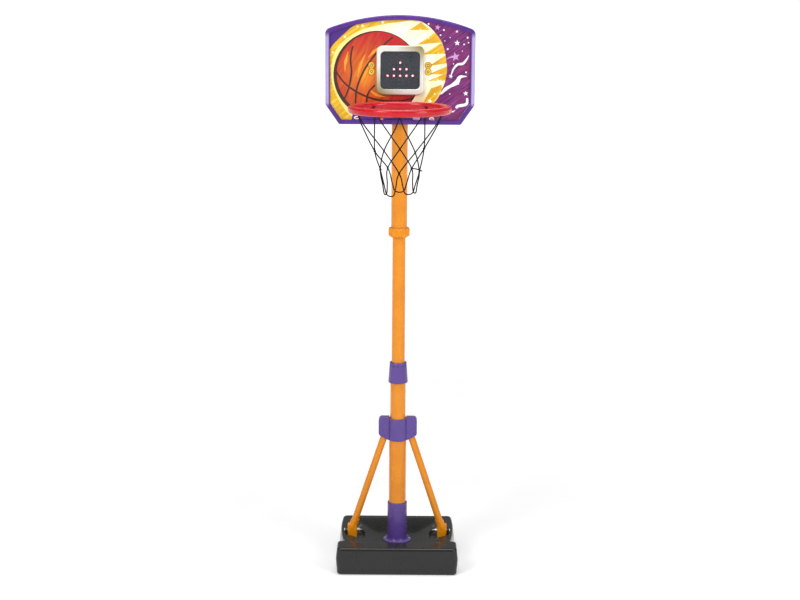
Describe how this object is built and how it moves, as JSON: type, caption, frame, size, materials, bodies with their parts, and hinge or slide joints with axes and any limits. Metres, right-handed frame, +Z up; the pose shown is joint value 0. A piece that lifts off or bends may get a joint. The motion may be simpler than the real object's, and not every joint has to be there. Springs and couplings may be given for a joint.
{
  "type": "basketball hoop machine",
  "caption": "Child's free-standing basketball hoop: ballast base, braced telescopic pole with twist locks, backboard with an electronic scoring display, and a ring with a knotted net.",
  "frame": {"origin": "middle of the base's underside, on the pole's axis", "axes": "+Z up along the pole, -Y towards the player, where the ring stands out, +X to the player's right"},
  "size_m": [0.45, 0.5528, 1.7229],
  "materials": {
    "black_plastic": "satin",
    "purple_plastic": "satin",
    "orange_paint": "gloss",
    "orange_plastic": "satin",
    "red_plastic": "gloss",
    "board_plastic": "satin",
    "printed_film": "gloss",
    "silver_plastic": "gloss",
    "smoked_lens": "gloss",
    "guide_plastic": "satin",
    "circuit": "satin",
    "lamp_red": "gloss",
    "zinc": "satin",
    "spring_steel": "satin",
    "cell_wrap": "gloss",
    "speaker_paper": "matte",
    "net_cord": "matte",
    "plug_rubber": "matte"
  },
  "bodies": {
    "stand": {"base_tank": "black_plastic", "pole_sleeve": "purple_plastic", "sleeve_screws": "zinc", "pole_lower": "orange_paint", "pole_second": "orange_paint", "brace_collar_front": "purple_plastic", "brace_collar_rear": "purple_plastic", "collar_screws": "zinc", "brace_right": "orange_paint", "brace_left": "orange_paint", "brace_shoe_right": "orange_plastic", "brace_shoe_left": "orange_plastic", "shoe_bolts": "zinc", "shoe_wing_nuts": "zinc", "lower_collet": "guide_plastic"},
    "plug": {"filler_plug": "plug_rubber"},
    "lower_lock": {"lock_collar": "purple_plastic"},
    "mast": {"pole_middle": "orange_paint", "middle_foot_guide": "guide_plastic", "middle_head_guide": "guide_plastic"},
    "upper_lock": {"lock_ring": "orange_plastic"},
    "goal": {"pole_upper": "orange_paint", "upper_bush": "orange_plastic", "pole_cap": "orange_plastic", "backboard": "board_plastic", "graphic_sheet": "printed_film", "saddle_lower": "purple_plastic", "saddle_upper": "purple_plastic", "clamp_lower": "purple_plastic", "clamp_upper": "purple_plastic", "clamp_screws": "zinc", "saddle_screws": "zinc", "display_bezel": "silver_plastic", "display_lens": "smoked_lens", "circuit_board": "circuit", "leds": "lamp_red", "display_housing": "silver_plastic", "display_screws": "zinc", "battery_cells": "cell_wrap", "battery_contacts": "spring_steel", "speaker": "speaker_paper", "vibration_sensor": "zinc", "switch_body": "zinc", "rim": "red_plastic", "rim_bracket": "red_plastic", "rim_bolts": "zinc", "rim_nuts": "zinc", "net": "net_cord", "net_tail": "net_cord"},
    "battery_cover": {"battery_door": "silver_plastic", "battery_door_screw": "zinc"},
    "switch": {"power_switch": "black_plastic"}
  },
  "joints": [
    {"name": "plug_lift", "type": "slide", "parent": "stand", "child": "plug", "axis": [0, 0, 1], "range_m": [0, 0.05]},
    {"name": "lower_lock_turn", "type": "hinge", "parent": "stand", "child": "lower_lock", "pos_m": [0, 0, 0.615], "axis": [0, 0, 1], "range_deg": [0, 90]},
    {"name": "mast_slide", "type": "slide", "parent": "stand", "child": "mast", "axis": [0, 0, 1], "range_m": [-0.2, 0]},
    {"name": "goal_slide", "type": "slide", "parent": "mast", "child": "goal", "axis": [0, 0, 1], "range_m": [-0.18, 0]},
    {"name": "upper_lock_turn", "type": "hinge", "parent": "goal", "child": "upper_lock", "pos_m": [0, 0, 1.062], "axis": [0, 0, 1], "range_deg": [0, 60]},
    {"name": "battery_cover_off", "type": "slide", "parent": "goal", "child": "battery_cover", "axis": [0, 1, 0], "range_m": [0, 0.04]},
    {"name": "power_switch_slide", "type": "slide", "parent": "goal", "child": "switch", "axis": [0, 0, 1], "range_m": [0, 0.005]}
  ]
}
